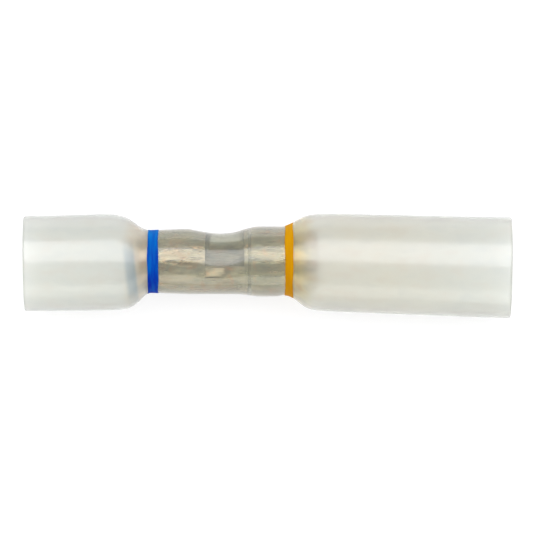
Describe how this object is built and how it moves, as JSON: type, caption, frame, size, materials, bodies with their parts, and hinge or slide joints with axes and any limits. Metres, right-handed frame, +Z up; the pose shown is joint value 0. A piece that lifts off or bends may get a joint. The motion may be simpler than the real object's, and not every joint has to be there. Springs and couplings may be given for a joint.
{
  "type": "heat shrink butt connector",
  "caption": "Stepped metal crimp barrel inside a translucent sleeve with wide open ends, marked by a blue ring at the thin wire end and a yellow ring at the thick wire end.",
  "frame": {"origin": "on the surface that the connector lies on, under the middle of its bounding box", "axes": "+X along the barrel from the blue thin wire end to the yellow thick wire end, +Z up, +Y to the side that the wire stop leans towards"},
  "size_m": [0.0421, 0.009, 0.0079],
  "materials": {
    "sleeve": "translucent milky polyolefin, satin",
    "barrel": "tin plated copper, dull silver with a warm cast",
    "blue_ink": "printed ring under the sleeve's gloss",
    "yellow_ink": "printed ring under the sleeve's gloss"
  },
  "bodies": {
    "root": {"heat_shrink_sleeve": "sleeve", "crimp_barrel": "barrel", "blue_band": "blue_ink", "yellow_band": "yellow_ink"}
  },
  "joints": []
}
